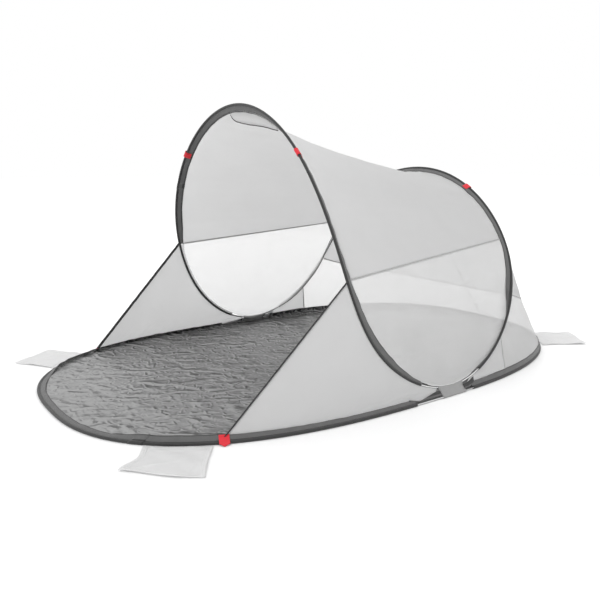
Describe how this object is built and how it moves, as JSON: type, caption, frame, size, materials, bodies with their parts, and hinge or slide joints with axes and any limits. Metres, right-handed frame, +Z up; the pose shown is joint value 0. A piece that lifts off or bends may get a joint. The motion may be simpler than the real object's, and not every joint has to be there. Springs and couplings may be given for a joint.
{
  "type": "pop-up beach shelter",
  "caption": "Open-fronted pop-up beach shelter: spring-wire hoops in sleeves carry a saddle canopy, mesh windows, a floor sheet, webbing tabs and sand flaps; front half folds up.",
  "frame": {"origin": "the middle of the footprint at ground level, under the shelter", "axes": "+Z up; +Y to the rear, along the shelter's length; -Y out of the open front; +X to the right seen from the front"},
  "size_m": [1.4554, 2.3238, 1.0147],
  "materials": {
    "spring_wire": "bright drawn spring steel wire",
    "ferrule": "crimped tube, plain",
    "sleeve_fabric": "dark grey polyester binding tape, ribbed weave, matt",
    "wrap_fabric": "mid grey heathered webbing",
    "canopy_fabric": "light grey coated polyester, fine plain weave, slightly translucent",
    "mesh_fabric": "white fine insect mesh, see-through",
    "seam_tape": "grey seam binding, stitched",
    "trim_binding": "nearly black edge binding",
    "floor_sheet": "silver-grey coated sheet, crinkled and glossy",
    "red_webbing": "red polyester webbing, ribbed",
    "flap_fabric": "off-white thin polyester, hemmed, translucent"
  },
  "bodies": {
    "rear_half": {"ground_hoop_rear": "spring_wire", "canopy_hoop_rear": "spring_wire", "ground_hoop_ferrule": "ferrule", "canopy_hoop_ferrule": "ferrule", "ground_sleeve_rear": "sleeve_fabric", "rear_arch_sleeve": "sleeve_fabric", "side_wrap_right": "wrap_fabric", "side_wrap_left": "wrap_fabric", "canopy": "canopy_fabric", "window_tape_right": "seam_tape", "window_tape_left": "seam_tape", "side_window_right": "mesh_fabric", "side_window_left": "mesh_fabric", "rear_wall_top": "canopy_fabric", "rear_seam_tape": "seam_tape", "rear_centre_tape": "seam_tape", "rear_window": "mesh_fabric", "rear_gusset_right": "canopy_fabric", "rear_gusset_left": "canopy_fabric", "floor_rear": "floor_sheet", "rear_tab_right": "red_webbing", "rear_tab_left": "red_webbing"},
    "front_half": {"ground_hoop_front": "spring_wire", "canopy_hoop_front": "spring_wire", "ground_sleeve_front": "sleeve_fabric", "front_arch_sleeve": "sleeve_fabric", "front_gusset_right": "canopy_fabric", "front_gusset_left": "canopy_fabric", "front_trim_right": "trim_binding", "front_trim_left": "trim_binding", "floor_front": "floor_sheet", "front_tab_right": "red_webbing", "front_tab_left": "red_webbing", "ground_tab_right": "red_webbing", "ground_tab_left": "red_webbing"},
    "sand_flap_front_right": {"sand_flap_front_right": "flap_fabric"},
    "sand_flap_front_left": {"sand_flap_front_left": "flap_fabric"},
    "sand_flap_rear_right": {"sand_flap_rear_right": "flap_fabric"},
    "sand_flap_rear_left": {"sand_flap_rear_left": "flap_fabric"}
  },
  "joints": [
    {"name": "book_fold", "type": "hinge", "parent": "rear_half", "child": "front_half", "pos_m": [0, 0.04975, 0.032], "axis": [-1, 0, 0], "range_deg": [0, 50], "deforming": ["canopy", "window_tape_right", "window_tape_left", "side_window_right", "side_window_left", "side_wrap_right", "side_wrap_left"]},
    {"name": "sand_flap_front_right_lift", "type": "hinge", "parent": "front_half", "child": "sand_flap_front_right", "pos_m": [0.51161, -0.93317, 0.0024], "axis": [-0.5733, -0.8194, 0], "range_deg": [0, 90]},
    {"name": "sand_flap_front_left_lift", "type": "hinge", "parent": "front_half", "child": "sand_flap_front_left", "pos_m": [-0.51161, -0.93317, 0.0024], "axis": [-0.5733, 0.8194, 0], "range_deg": [0, 90]},
    {"name": "sand_flap_rear_right_lift", "type": "hinge", "parent": "rear_half", "child": "sand_flap_rear_right", "pos_m": [0.40352, 0.9261, 0.0024], "axis": [0.7804, -0.6253, 0], "range_deg": [0, 90]},
    {"name": "sand_flap_rear_left_lift", "type": "hinge", "parent": "rear_half", "child": "sand_flap_rear_left", "pos_m": [-0.40352, 0.9261, 0.0024], "axis": [0.7804, 0.6253, 0], "range_deg": [0, 90]}
  ]
}
